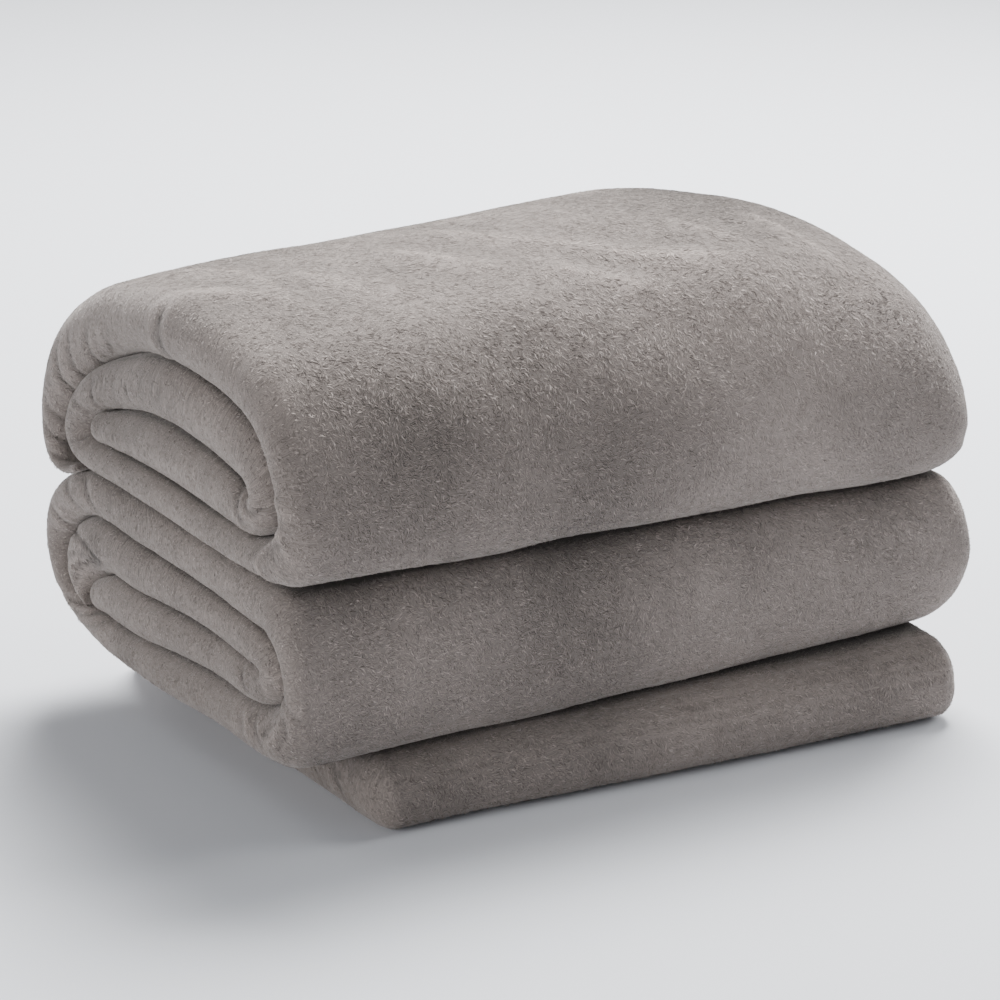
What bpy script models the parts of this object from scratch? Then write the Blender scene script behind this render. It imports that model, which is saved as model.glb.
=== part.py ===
"""A weighted blanket, folded into three tiers, as one closed solid.

The folded section lies in the YZ plane and runs along X. +X is along the folds, +Y goes to the
back and +Z is up. The origin is at the middle of the base, on the surface that the blanket
stands on. The tables are in millimetres, and the mesh is made in metres.
"""

import math
from typing import NamedTuple

import bmesh
import bpy
import numpy as np
from mathutils import Vector

MM = 0.001

# The cloth.
SLIT = 1.0  # gap between two layers that lie on each other
PLUSH_COLOUR = (0.235, 0.196, 0.170, 1.0)
PLUSH_ROUGHNESS = 0.95

# Where the heights of the slits are read, from the front to the back.
FRONT_Y, MIDDLE_Y, BACK_Y = -95.0, 5.0, 75.0

# How finely the section, the rounded tips, the rounded ends and the length are cut.
LAYER_STEPS = 6
TURN_STEPS = 11
BEND_STEPS = 3
TIP_STEPS = 6
CROWN_STEPS = 4
LENGTH_STEPS = 7
CURVE_POINTS = 40  # on a turn's curve, before it is cut

WELD = 1e-6  # m


REACH_PER_HANDLE = 0.75  # of a cubic curve that turns right back


class Slit(NamedTuple):
    """The line where two layers meet: its height at the front, the middle and the back."""

    front: float
    middle: float
    back: float

    def height(self, y):
        """The height at each y, on the parabola through the three heights."""
        curve = np.polyfit((FRONT_Y, MIDDLE_Y, BACK_Y), self, 2)
        return np.polyval(curve, y)


SLITS = {
    #                     front  middle  back
    "floor":         Slit(0.0,   0.0,    0.0),
    "base top":      Slit(32.5,  31.0,   31.0),
    "ring floor":    Slit(58.0,  52.0,   46.5),
    "middle fold":   Slit(75.5,  74.0,   72.0),
    "ring ceiling":  Slit(93.0,  96.5,   94.0),
    "middle top":    Slit(117.5, 118.5,  119.0),
    "tongue floor":  Slit(133.0, 134.5,  135.5),
    "tongue top":    Slit(148.5, 160.0,  146.5),
    "roll top":      Slit(178.0, 187.5,  166.0),
    "crown":         Slit(206.0, 217.0,  201.5),
}


class Layer(NamedTuple):
    """One layer of a folded band, between two slits, from start to end along Y.

    outer and inner are how far the two sides of the turn that follows stand past the layer.
    leave and enter are how far its outer side keeps on beside this layer's slit and beside
    the next one's, which is what presses the tiers together at their fronts.
    """

    name: str
    below: str
    above: str
    start: float
    end: float
    outer: float = 0.0
    inner: float = 0.0
    leave: float = 0.0
    enter: float = 0.0


class Tip(NamedTuple):
    """A free end of a band: its middle, its thickness and the way that it points, in degrees.

    lead is how straight the band runs in to it, as a share of the turn before. length is how
    far its round end reaches, and square how square that is below: 2 is round.
    """

    y: float
    z: float
    thick: float
    points: float
    length: float
    lead: float = 1.0
    square: float = 2.0


class End(NamedTuple):
    """Where a band ends along X, and how deep it rounds, as a share of half its thickness."""

    x: float
    depth: float


class Band(NamedTuple):
    """A strip of the blanket: its first tip, its layers in order, its last tip and its ends.

    A ring has no tips. turn is how many degrees the band lies out of line with the folds.
    """

    first: Tip | None
    layers: tuple
    last: Tip | None
    left: End
    right: End
    turn: float = 0.0


BANDS = {
    "top tier": Band(
        #   y     z      thick points length lead
        Tip(59.5, 143.0, 15.0, -8.0,  6.5), (
            #     name          below           above           start    end    outer inner leave enter
            Layer("tongue",     "tongue floor", "tongue top",   44.0,   -84.0,  27.0, 4.0),
            Layer("upper fold", "tongue top",   "roll top",     -84.0,   54.0,  40.0, 13.8),
            Layer("lower fold", "middle top",   "tongue floor", 64.0,   -86.0,  50.0, 28.5, 25.0),
            Layer("cover",      "roll top",     "crown",        -84.0,   52.0,  77.5, 50.5),
        ), Tip(79.5, 118.9, 2.4, 157.0, 1.2, 0.6), End(-188.5, 1.0), End(182.0, 2.1)),
    "middle ring": Band(
        None, (
            Layer("ring top",   "ring ceiling", "middle top",   -84.0,   49.0,  75.0, 57.5, 8.0),
            Layer("ring base",  "base top",     "ring floor",   46.0,   -84.0,  51.0, 39.0, 30.0, 28.0),
        ), None, End(-188.5, 1.0), End(184.5, 1.5)),
    "middle fold": Band(
        Tip(70.5, 61.1, 17.4, 0.0, 9.0), (
            Layer("fold base",  "ring floor",   "middle fold",  50.0,   -84.0,  38.0, 14.0),
            Layer("fold top",   "middle fold",  "ring ceiling", -84.0,   46.0,  42.0, 25.5),
        ), Tip(80.0, 54.6, 2.4, 200.0, 1.2, 0.7), End(-188.5, 1.0), End(184.5, 1.0)),
    "base": Band(
        Tip(-119.0, 16.0, 32.0, 180.0, 26.0, 1.0, 4.0), (
            Layer("base",       "floor",        "base top",    -105.0, 80.0),
        ), Tip(90.0, 14.5, 29.0, 0.0, 16.0, 1.0, 3.0), End(-147.0, 0.7), End(170.0, 0.9), -3.0),
}


def layer_sides(layer):
    """The two sides of a layer, as rows of left y, left z, right y and right z."""
    y = np.linspace(layer.start, layer.end, LAYER_STEPS + 1)
    gap = 0.0 if layer.below == "floor" else 0.5 * SLIT
    low = np.stack([y, SLITS[layer.below].height(y) + gap], axis=1)
    high = np.stack([y, SLITS[layer.above].height(y) - 0.5 * SLIT], axis=1)
    backwards = layer.end > layer.start
    return np.hstack([high, low] if backwards else [low, high])


def tip_sides(tip, leaving):
    """The two ends of a tip's sides, as two rows that tell the way the band goes there."""
    angle = math.radians(tip.points)
    points = np.array([math.cos(angle), math.sin(angle)])
    travel = -points if leaving else points
    left = 0.5 * tip.thick * np.array([-travel[1], travel[0]])
    middle = np.array([tip.y, tip.z])
    end = np.concatenate([middle + left, middle - left])
    step = np.tile(travel, 2)
    return np.stack([end, end + step] if leaving else [end - step, end])


def bridge(start, out, into, stop, handles):
    """A cubic curve from start to stop that leaves along out and arrives along into.

    Where the two ways are opposite, it stands REACH_PER_HANDLE of its handles past its ends.
    """
    u = np.linspace(0.0, 1.0, CURVE_POINTS)[:, None]
    first, second = start + handles[0] * out, stop - handles[1] * into
    return ((1 - u) ** 3 * start + 3 * u * (1 - u) ** 2 * first
            + 3 * u**2 * (1 - u) * second + u**3 * stop)


def evenly(line, steps):
    """The points inside a line that cut it into steps of one length."""
    travelled = np.concatenate([[0.0], np.cumsum(np.linalg.norm(np.diff(line, axis=0), axis=1))])
    wanted = np.linspace(0.0, travelled[-1], steps + 1)[1:-1]
    return np.column_stack([np.interp(wanted, travelled, line[:, axis]) for axis in (0, 1)])


def turn_sides(run, following, layer, lead):
    """The sides of the turn between two runs. A turn with no reach is a gentle bend."""
    out, into = run[-1] - run[-2], following[1] - following[0]
    across = following[0] - run[-1]
    turns_left = out[0] * across[1] > out[1] * across[0]
    is_bend = not layer or not layer.outer
    sides = []
    for side in (slice(0, 2), slice(2, 4)):
        start, stop = run[-1, side], following[0, side]
        ahead = out[side] / np.linalg.norm(out[side])
        after = into[side] / np.linalg.norm(into[side])
        is_inner = turns_left == (side.start == 0)
        leave = enter = 0.0
        if is_bend:
            handle = np.linalg.norm(stop - start) / 3
        elif is_inner:
            handle = layer.inner / REACH_PER_HANDLE
        else:
            leave, enter = layer.leave, layer.enter
            handle = (layer.outer - 0.5 * (leave + enter)) / REACH_PER_HANDLE
        curve = bridge(start + leave * ahead, ahead, after, stop - enter * after,
                       (handle, lead * handle))
        line = np.vstack([start, curve, stop])
        sides.append(evenly(line, BEND_STEPS if is_bend else TURN_STEPS))
    return np.hstack(sides)


def band_sides(band):
    """The two side lines of a whole band: its tips and layers, joined by turns."""
    runs = [(layer, layer_sides(layer)) for layer in band.layers]
    if band.first:
        runs.insert(0, (None, tip_sides(band.first, leaving=True)))
    if band.last:
        runs.append((None, tip_sides(band.last, leaving=False)))
    rows = []
    for index, (layer, run) in enumerate(runs):
        is_first_tip = band.first and index == 0
        is_last_tip = band.last and index == len(runs) - 1
        rows.append(run[:1] if is_first_tip else run[1:] if is_last_tip else run)
        if index + 1 < len(runs) or is_ring(band):
            into_last_tip = band.last and index == len(runs) - 2
            lead = band.last.lead if into_last_tip else 1.0
            following = runs[(index + 1) % len(runs)][1]
            rows.append(turn_sides(run, following, layer, lead))
    return np.vstack(rows)


def is_ring(band):
    """A band with a turn after its last layer, and no tips, closes on itself."""
    return band.layers[-1].outer > 0 and not band.last


def outlines_of(band):
    """The band's outlines: one right round an open band, or a ring's outer and inner one.

    A row holds the y and z of the band's core, the offset from there to the surface, and the
    depth of the band's rounded end there and beside it. A tip's depth fades towards its point.
    """
    rows = band_sides(band)
    left, right = rows[:, :2], rows[:, 2:]
    middle, offset = 0.5 * (left + right), 0.5 * (left - right)
    depth = np.linalg.norm(offset, axis=1, keepdims=True)
    sides = [np.hstack([middle, offset, depth, depth]), np.hstack([middle, -offset, depth, depth])]
    if is_ring(band):
        return [sides[0], sides[1][::-1]]
    shrunk = np.cos(np.pi * np.arange(1, TIP_STEPS)[:, None] / TIP_STEPS)
    tips = []
    for at, side, tip in ((-1, 1.0, band.last), (0, -1.0, band.first)):
        across = side * offset[at]
        forward = tip.length * np.array([across[1], -across[0]]) / depth[at]
        is_below = across[1] * shrunk < 0
        power = np.where(is_below, tip.square, 2.0)
        reach = (1 - np.abs(shrunk) ** power) ** (1 / power)
        core = middle[at] + np.sqrt(1 - shrunk**2) * forward
        surface = middle[at] + reach * forward + shrunk * across
        tips.append(np.hstack([core, surface - core, depth[at] * np.abs(shrunk),
                               depth[at] + 0 * reach]))
    return [np.vstack([sides[0], tips[0], sides[1][::-1], tips[1]])]


class Rise(NamedTuple):
    """How much higher or lower the blanket stands, at a height, at each of SETTLING_X."""

    height: float
    at_x: tuple


SETTLING_X = (-188.0, -60.0, 60.0, 120.0, 188.0)
SETTLING = (
    Rise(0.0,   (0.0, 0.0,  0.0,  0.0,  0.0)),
    Rise(31.0,  (0.0, 2.0,  4.5,  6.5,  9.0)),
    Rise(117.0, (0.0, -1.0, -1.5, -2.0, -2.5)),
    Rise(217.0, (4.0, 14.0, 21.0, 16.0, -17.0)),
)


def settle(points):
    """The section's slow changes along the length, which the points are moved by."""
    x, z = points[..., 0], points[..., 2]
    lift = 0 * x
    for low, high in zip(SETTLING, SETTLING[1:]):
        share = (z - low.height) / (high.height - low.height)
        below, above = (np.polyval(np.polyfit(SETTLING_X, rise.at_x, 4), x) for rise in (low, high))
        lift = np.where(z >= low.height, below + share * (above - below), lift)
    points[..., 2] += lift
    return points


def grid_of(outline, band):
    """An outline carried along X, as stations by columns of points, in metres.

    At both ends the surface rounds in to the band's middle over the depth of the column.
    """
    left, right = band.left, band.right
    middle, offset = outline[:, 0:2], outline[:, 2:4]
    depth, full = outline[:, 4], outline[:, 5]
    crown = 0.5 * np.pi * np.arange(CROWN_STEPS, 0, -1) / CROWN_STEPS
    along = np.linspace(0.0, 1.0, LENGTH_STEPS + 1)
    near, far = left.x + left.depth * full, right.x - right.depth * full
    stations = [(near - left.depth * depth * np.sin(angle), np.cos(angle)) for angle in crown]
    stations += [(near + share * (far - near), 1.0) for share in along]
    stations += [(far + right.depth * depth * np.sin(angle), np.cos(angle))
                 for angle in crown[::-1]]
    grid = np.array([np.column_stack([x, middle + share * offset]) for x, share in stations])
    grid[..., 1] += grid[..., 0] * math.tan(math.radians(band.turn))
    return MM * settle(grid)


class Seam(NamedTuple):
    """A place between two layers, out of sight, where one band runs into the next."""

    band: str
    y: float
    z: float
    other: str
    other_y: float
    other_z: float


SEAMS = (
    #    band           y     z      other          y     z
    Seam("top tier",    0.0,  117.5, "middle ring", 0.0,  116.5),
    Seam("middle fold", 40.0, 48.0,  "middle ring", 40.0, 47.0),
    Seam("base",        40.0, 30.0,  "middle ring", 40.0, 31.0),
)
SEAM_SET_BACK = 2  # stations between a seam and the rounded end


def seam_patch(grids, y, z):
    """The outline and the column, of all of a band's, that pass nearest to a place."""
    station = CROWN_STEPS + LENGTH_STEPS // 2
    place = MM * np.array([y, z])
    best = []
    for number, grid in enumerate(grids):
        far = np.linalg.norm(grid[station, :, 1:] - place, axis=1)
        best.append((far.min(), number, int(far.argmin())))
    return min(best)[1:]


def patch_rim(column, count, onwards):
    """The stations and columns round a patch two columns wide, from its first corner."""
    first, last = CROWN_STEPS + SEAM_SET_BACK, CROWN_STEPS + LENGTH_STEPS - SEAM_SET_BACK
    columns = [(column + onwards * step) % count for step in (-1, 0, 1)]
    rim = [(first, c) for c in columns]
    rim += [(station, columns[-1]) for station in range(first + 1, last)]
    rim += [(last, c) for c in reversed(columns)]
    rim += [(station, columns[0]) for station in range(last - 1, first, -1)]
    return rim


def base_middle(vertices):
    """The middle of the base of the box round some vertices."""
    places = np.array([vertex.co for vertex in vertices])
    low, high = places.min(axis=0), places.max(axis=0)
    return Vector((0.5 * (low[0] + high[0]), 0.5 * (low[1] + high[1]), low[2]))


def solid_of(name, bands, seams):
    """All bands as one closed mesh: their grids, opened and joined where the seams say."""
    grids = {key: [grid_of(outline, band) for outline in outlines_of(band)]
             for key, band in bands.items()}
    mesh = bmesh.new()
    corners = {key: [[[mesh.verts.new(point) for point in row] for row in grid]
                     for grid in band_grids] for key, band_grids in grids.items()}
    opened = set()
    for seam in seams:
        rims = []
        for key, y, z, onwards in ((seam.band, seam.y, seam.z, 1),
                                   (seam.other, seam.other_y, seam.other_z, -1)):
            number, column = seam_patch(grids[key], y, z)
            count = grids[key][number].shape[1]
            rim = patch_rim(column, count, onwards)
            stations = {station for station, _ in rim}
            opened |= {(key, number, station, (column + step) % count)
                       for station in range(min(stations), max(stations)) for step in (-1, 0)}
            rims.append([corners[key][number][station][c] for station, c in rim])
        for this in range(len(rims[0])):
            following = (this + 1) % len(rims[0])
            mesh.faces.new((rims[0][this], rims[0][following], rims[1][following], rims[1][this]))
    for key, band_grids in corners.items():
        for number, grid in enumerate(band_grids):
            count = len(grid[0])
            for station in range(len(grid) - 1):
                for column in range(count):
                    if (key, number, station, column) in opened:
                        continue
                    after = (column + 1) % count
                    mesh.faces.new((grid[station][column], grid[station][after],
                                    grid[station + 1][after], grid[station + 1][column]))
    bmesh.ops.remove_doubles(mesh, verts=mesh.verts, dist=WELD)
    bmesh.ops.recalc_face_normals(mesh, faces=mesh.faces)
    bmesh.ops.translate(mesh, verts=mesh.verts, vec=-base_middle(mesh.verts))
    data = bpy.data.meshes.new(name)
    mesh.to_mesh(data)
    mesh.free()
    data.shade_smooth()
    solid = bpy.data.objects.new(name, data)
    bpy.context.scene.collection.objects.link(solid)
    return solid


def plush():
    """The blanket's short pile: a matt warm grey."""
    material = bpy.data.materials.new("plush")
    material.use_nodes = True
    shader = material.node_tree.nodes["Principled BSDF"]
    shader.inputs["Base Color"].default_value = PLUSH_COLOUR
    shader.inputs["Roughness"].default_value = PLUSH_ROUGHNESS
    return material


def main():
    """Clears the scene and builds the blanket."""
    for old in list(bpy.data.objects):
        bpy.data.objects.remove(old, do_unlink=True)
    blanket = solid_of("blanket", BANDS, SEAMS)
    blanket.data.materials.append(plush())


main()
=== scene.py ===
"""The looks of a weighted blanket of short plush, folded into three tiers.

The same folded section as the solid's, cut finely and given the plush's creases and lumps, then
covered with pile. Lengths are millimetres unless a line says metres, and meshes are in metres. +X
is along the folds, +Y goes to the back and +Z is up.
"""

from __future__ import annotations

import logging
import math
from dataclasses import dataclass, fields
from enum import Enum

import bmesh
import bpy
import numpy as np
from mathutils import Matrix, Vector
from numpy.typing import NDArray

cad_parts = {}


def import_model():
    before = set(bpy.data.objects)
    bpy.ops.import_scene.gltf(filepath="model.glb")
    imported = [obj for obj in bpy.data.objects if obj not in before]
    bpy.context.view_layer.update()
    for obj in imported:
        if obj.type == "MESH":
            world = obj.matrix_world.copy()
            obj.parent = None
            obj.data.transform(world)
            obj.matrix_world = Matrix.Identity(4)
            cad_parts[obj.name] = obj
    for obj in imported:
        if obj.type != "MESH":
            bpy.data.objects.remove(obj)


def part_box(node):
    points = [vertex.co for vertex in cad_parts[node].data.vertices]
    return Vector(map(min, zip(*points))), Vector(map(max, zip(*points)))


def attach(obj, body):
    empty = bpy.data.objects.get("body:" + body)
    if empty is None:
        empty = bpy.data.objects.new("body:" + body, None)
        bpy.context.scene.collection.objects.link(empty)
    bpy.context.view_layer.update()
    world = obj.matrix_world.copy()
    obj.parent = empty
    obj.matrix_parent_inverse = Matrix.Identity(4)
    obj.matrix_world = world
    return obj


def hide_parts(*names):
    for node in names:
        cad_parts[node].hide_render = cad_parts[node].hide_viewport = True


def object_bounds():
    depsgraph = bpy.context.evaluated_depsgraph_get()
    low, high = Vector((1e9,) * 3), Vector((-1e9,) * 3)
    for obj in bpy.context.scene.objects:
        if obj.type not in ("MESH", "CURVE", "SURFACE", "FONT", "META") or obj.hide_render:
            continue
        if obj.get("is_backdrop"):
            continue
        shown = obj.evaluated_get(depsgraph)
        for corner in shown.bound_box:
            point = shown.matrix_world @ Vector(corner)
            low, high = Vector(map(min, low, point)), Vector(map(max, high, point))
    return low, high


log = logging.getLogger("weighted_blanket")

Array = NDArray[np.float64]
Tree = bpy.types.NodeTree

MM = 0.001
NODE = "blanket"
BODY = "root"

# How finely the cloth is cut.
HIDDEN_SPACING = 3.8
OPEN_SPACING = 3.2
TURN_SPACING = 2.2
TIP_STEPS = 10
CROWN_STEPS = 9
END_ZONE = 36.0
END_SPACING = 3.0
LENGTH_SPACING = 8.0
MAP_SIZE = 1000.0  # of one unit of the cloth's UV map

# Where cloth lies against cloth: the gap that leaves no room for pile, and the one with room.
SHUT_GAP = 1.2
OPEN_GAP = 3.2
# within this gap, the cloth ahead gives painted shade
SHADED_GAP = 13.0
GAP_STEP = 0.7
LEAST_GAP = 0.12
FAR_GAP = 99.0
END_FADE = (2.0, 12.0)  # in from a band's end, from where it shuts nothing in to where it does
SEAM_STEP = 60.0  # more than any value on the cloth changes inside one of its faces

# Where the cloth's shape and finish change.
END_REACH = (12.0, 36.0)  # from the middle of a rounded end, to where it no longer counts
UPWARD = (0.5, 0.8)  # how much a normal of the top faces up
GROUND_REACH = 4.0  # above the floor, where the lumps fade out
SWAY_REACH = 30.0  # the same for the sway
FLOOR_REACH = 1.0  # above the floor, where no pile grows
LOWEST_PILE = 0.05

# The folded section.
SLIT = 0.3
FRONT_Y, MIDDLE_Y, BACK_Y = -95.0, 5.0, 75.0
LEFT_SIDE, RIGHT_SIDE = slice(0, 2), slice(2, 4)  # the columns of a row that holds both
REACH_PER_HANDLE = 0.75  # of a cubic curve that turns right back
CHORD_PER_HANDLE = 3.0  # of one that bends gently
LEAST_STEPS = 3  # of a turn
CURVE_POINTS = 160
WELD = 1e-6  # metres
TINY = 1e-12  # keeps a length or a sign from being 0


def smooth(low: float, high: float, value: Array) -> Array:
    """An S-shaped step from 0 at low to 1 at high."""
    share = np.clip((value - low) / (high - low), 0.0, 1.0)
    return share * share * (3.0 - 2.0 * share)


@dataclass(frozen=True)
class Slit:
    """The line where two layers meet: its height at the front, the middle and the back."""

    front: float
    middle: float
    back: float

    def height(self, y: Array) -> Array:
        """The height at each y, on the parabola through the three heights."""
        curve = np.polyfit((FRONT_Y, MIDDLE_Y, BACK_Y), (self.front, self.middle, self.back), 2)
        return np.polyval(curve, y)


SLITS: dict[str, Slit] = {
    #                     front  middle  back
    "floor":         Slit(0.0,   0.0,    0.0),
    "base top":      Slit(32.5,  31.0,   31.0),
    "ring floor":    Slit(58.0,  52.0,   46.5),
    "middle fold":   Slit(75.5,  74.0,   72.0),
    "ring ceiling":  Slit(93.0,  96.5,   97.5),
    "middle top":    Slit(117.5, 118.5,  119.0),
    "tongue floor":  Slit(133.0, 134.5,  135.5),
    "tongue top":    Slit(148.5, 160.0,  146.5),
    "roll top":      Slit(178.0, 187.5,  166.0),
    "crown":         Slit(206.0, 217.0,  201.5),
}


@dataclass(frozen=True)
class Layer:
    """One layer of a folded band, between two slits, from start to end along Y.

    outer and inner are how far the two sides of the turn that follows stand past the layer.
    leave and enter are how far its outer side keeps on beside the two slits there.
    """

    below: str
    above: str
    start: float
    end: float
    outer: float = 0.0
    inner: float = 0.0
    leave: float = 0.0
    enter: float = 0.0
    spacing: float = HIDDEN_SPACING

    def sides(self) -> Array:
        """The layer's two sides, as rows of left y, left z, right y and right z."""
        steps = math.ceil(abs(self.end - self.start) / self.spacing)
        y = np.linspace(self.start, self.end, steps + 1)
        gap = 0.0 if self.below == "floor" else 0.5 * SLIT
        low = np.stack([y, SLITS[self.below].height(y) + gap], axis=1)
        high = np.stack([y, SLITS[self.above].height(y) - 0.5 * SLIT], axis=1)
        return np.hstack([high, low] if self.end > self.start else [low, high])


@dataclass(frozen=True)
class Tip:
    """A free end of a band: its middle, its thickness and the way that it points, in degrees.

    lead is how long the last handle of the turn before it is, as a share of the first. length is
    how far its round end reaches, and square how square that is below: 2 is round.
    """

    y: float
    z: float
    thick: float
    points: float
    length: float
    lead: float = 1.0
    square: float = 2.0

    def sides(self, leaving: bool) -> Array:
        """The two ends of the tip's sides, as two rows that tell the way the band goes there.

        Args:
            leaving: whether the band starts at this tip.

        Returns:
            Rows of left y, left z, right y and right z.
        """
        angle = math.radians(self.points)
        points = np.array([math.cos(angle), math.sin(angle)])
        travel = -points if leaving else points
        left = 0.5 * self.thick * np.array([-travel[1], travel[0]])
        middle = np.array([self.y, self.z])
        end = np.concatenate([middle + left, middle - left])
        step = np.tile(travel, 2)
        return np.stack([end, end + step] if leaving else [end - step, end])


@dataclass(frozen=True)
class End:
    """Where a band ends along X, and how deep it rounds, as a share of half its thickness."""

    x: float
    depth: float


def bridge(start: Array, out: Array, into: Array, stop: Array, handles: tuple) -> Array:
    """A cubic curve between two points, by the four Bernstein weights of its share u.

    Args:
        start: its first point.
        out: the way it leaves.
        into: the way it arrives.
        stop: its last point.
        handles: how long its two handles are.

    Returns:
        Its points, one a row.
    """
    u = np.linspace(0.0, 1.0, CURVE_POINTS)[:, None]
    first, second = start + handles[0] * out, stop - handles[1] * into
    return ((1 - u) ** 3 * start + 3 * u * (1 - u) ** 2 * first
            + 3 * u**2 * (1 - u) * second + u**3 * stop)


def travelled(line: Array) -> Array:
    """How far along a line each of its points lies."""
    steps = np.linalg.norm(np.diff(line, axis=0), axis=1)
    return np.concatenate([[0.0], np.cumsum(steps)])


def evenly(line: Array, steps: int) -> Array:
    """A line's two ends and the points that cut it into steps of one length."""
    along = travelled(line)
    wanted = np.linspace(0.0, along[-1], steps + 1)
    return np.column_stack([np.interp(wanted, along, line[:, axis]) for axis in (0, 1)])


def closed(line: Array) -> Array:
    """A line with its first point again at its end."""
    return np.vstack([line, line[:1]])


def closely(line: Array) -> Array:
    """The points of a closed line, at most GAP_STEP apart."""
    line = closed(line)
    return evenly(line, math.ceil(travelled(line)[-1] / GAP_STEP))


@dataclass(frozen=True)
class Outline:
    """One closed line round the section, a row a point.

    middle and offset give the band's core and the way from it to the surface, depth and full
    the depth of the rounded end there and beside it, path how far along the band the point is,
    and side 1 on the band's left, -1 on its right and between on its round tips.
    """

    middle: Array
    offset: Array
    depth: Array
    full: Array
    path: Array
    side: Array

    def surface(self) -> Array:
        """The points of the line itself."""
        return self.middle + self.offset


@dataclass(frozen=True)
class Band:
    """A strip of the blanket: its first tip, its layers in order, its last tip and its ends.

    A ring has no tips. turn is how many degrees the band lies out of line with the folds.
    """

    name: str
    first: Tip | None
    layers: tuple[Layer, ...]
    last: Tip | None
    left: End
    right: End
    turn: float = 0.0

    @property
    def is_ring(self) -> bool:
        """Whether the band closes on itself."""
        return self.layers[-1].outer > 0 and self.last is None

    def turn_sides(self, run: Array, following: Array, layer: Layer | None,
                   lead: float) -> Array:
        """The sides of the turn between two runs. A turn with no reach is a gentle bend.

        Args:
            run: the sides before the turn.
            following: the sides after it.
            layer: the layer before it, which holds its reach.
            lead: how long the last handle is, as a share of the first.

        Returns:
            The turn's own rows, without those of the runs.
        """
        out, into = run[-1] - run[-2], following[1] - following[0]
        across = following[0] - run[-1]
        turns_left = out[0] * across[1] > out[1] * across[0]
        is_bend = not layer or not layer.outer
        curves = []
        for side in (LEFT_SIDE, RIGHT_SIDE):
            start, stop = run[-1, side], following[0, side]
            ahead = out[side] / np.linalg.norm(out[side])
            after = into[side] / np.linalg.norm(into[side])
            is_inner = turns_left == (side is LEFT_SIDE)
            leave = enter = 0.0
            if is_bend:
                handle = np.linalg.norm(stop - start) / CHORD_PER_HANDLE
            elif is_inner:
                handle = layer.inner / REACH_PER_HANDLE
            else:
                leave, enter = layer.leave, layer.enter
                handle = (layer.outer - 0.5 * (leave + enter)) / REACH_PER_HANDLE
            curve = bridge(start + leave * ahead, ahead, after, stop - enter * after,
                           (handle, lead * handle))
            curves.append(np.vstack([start, curve, stop]))
        longest = max(travelled(curve)[-1] for curve in curves)
        steps = max(math.ceil(longest / TURN_SPACING), LEAST_STEPS)
        return np.hstack([evenly(curve, steps)[1:-1] for curve in curves])

    def sides(self) -> Array:
        """The two side lines of the whole band: its tips and layers, joined by turns."""
        runs: list[tuple[Layer | None, Array]] = [(at, at.sides()) for at in self.layers]
        if self.first:
            runs.insert(0, (None, self.first.sides(leaving=True)))
        if self.last:
            runs.append((None, self.last.sides(leaving=False)))
        rows = []
        for index, (layer, run) in enumerate(runs):
            is_first_tip = self.first is not None and index == 0
            is_last_tip = self.last is not None and index == len(runs) - 1
            rows.append(run[:1] if is_first_tip else run[1:] if is_last_tip else run)
            if index + 1 < len(runs) or self.is_ring:
                into_last_tip = self.last is not None and index == len(runs) - 2
                lead = self.last.lead if into_last_tip else 1.0
                following = runs[(index + 1) % len(runs)][1]
                rows.append(self.turn_sides(run, following, layer, lead))
        return np.vstack(rows)

    def outlines(self) -> list[Outline]:
        """The band's outlines: one right round an open band, or a ring's outer and inner one.

        A tip is half an ellipse, squared below by its power, from the left side to the right.
        """
        rows = self.sides()
        left, right = rows[:, LEFT_SIDE], rows[:, RIGHT_SIDE]
        middle, offset = 0.5 * (left + right), 0.5 * (left - right)
        depth = np.linalg.norm(offset, axis=1)
        path = travelled(middle)
        ones = np.ones(len(path))
        sides = [Outline(middle, offset, depth, depth, path, ones),
                 Outline(middle[::-1], -offset[::-1], depth[::-1], depth[::-1], path[::-1], -ones)]
        if self.is_ring:
            return sides
        across = np.cos(np.pi * np.arange(1, TIP_STEPS) / TIP_STEPS)
        tips = []
        for at, way, tip in ((-1, 1.0, self.last), (0, -1.0, self.first)):
            beside = way * offset[at]
            forward = tip.length * np.array([beside[1], -beside[0]]) / depth[at]
            power = np.where(beside[1] * across < 0, tip.square, 2.0)
            reach = (1 - np.abs(across) ** power) ** (1 / power)
            core = middle[at] + np.sqrt(1 - across**2)[:, None] * forward
            surface = middle[at] + reach[:, None] * forward + across[:, None] * beside
            full = np.full(len(across), depth[at])
            tips.append(Outline(core, surface - core, full * np.abs(across), full,
                                path[at] + way * tip.length * reach, way * across))
        parts = (sides[0], tips[0], sides[1], tips[1])
        return [Outline(*(np.concatenate([getattr(part, field.name) for part in parts])
                          for field in fields(Outline)))]


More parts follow.
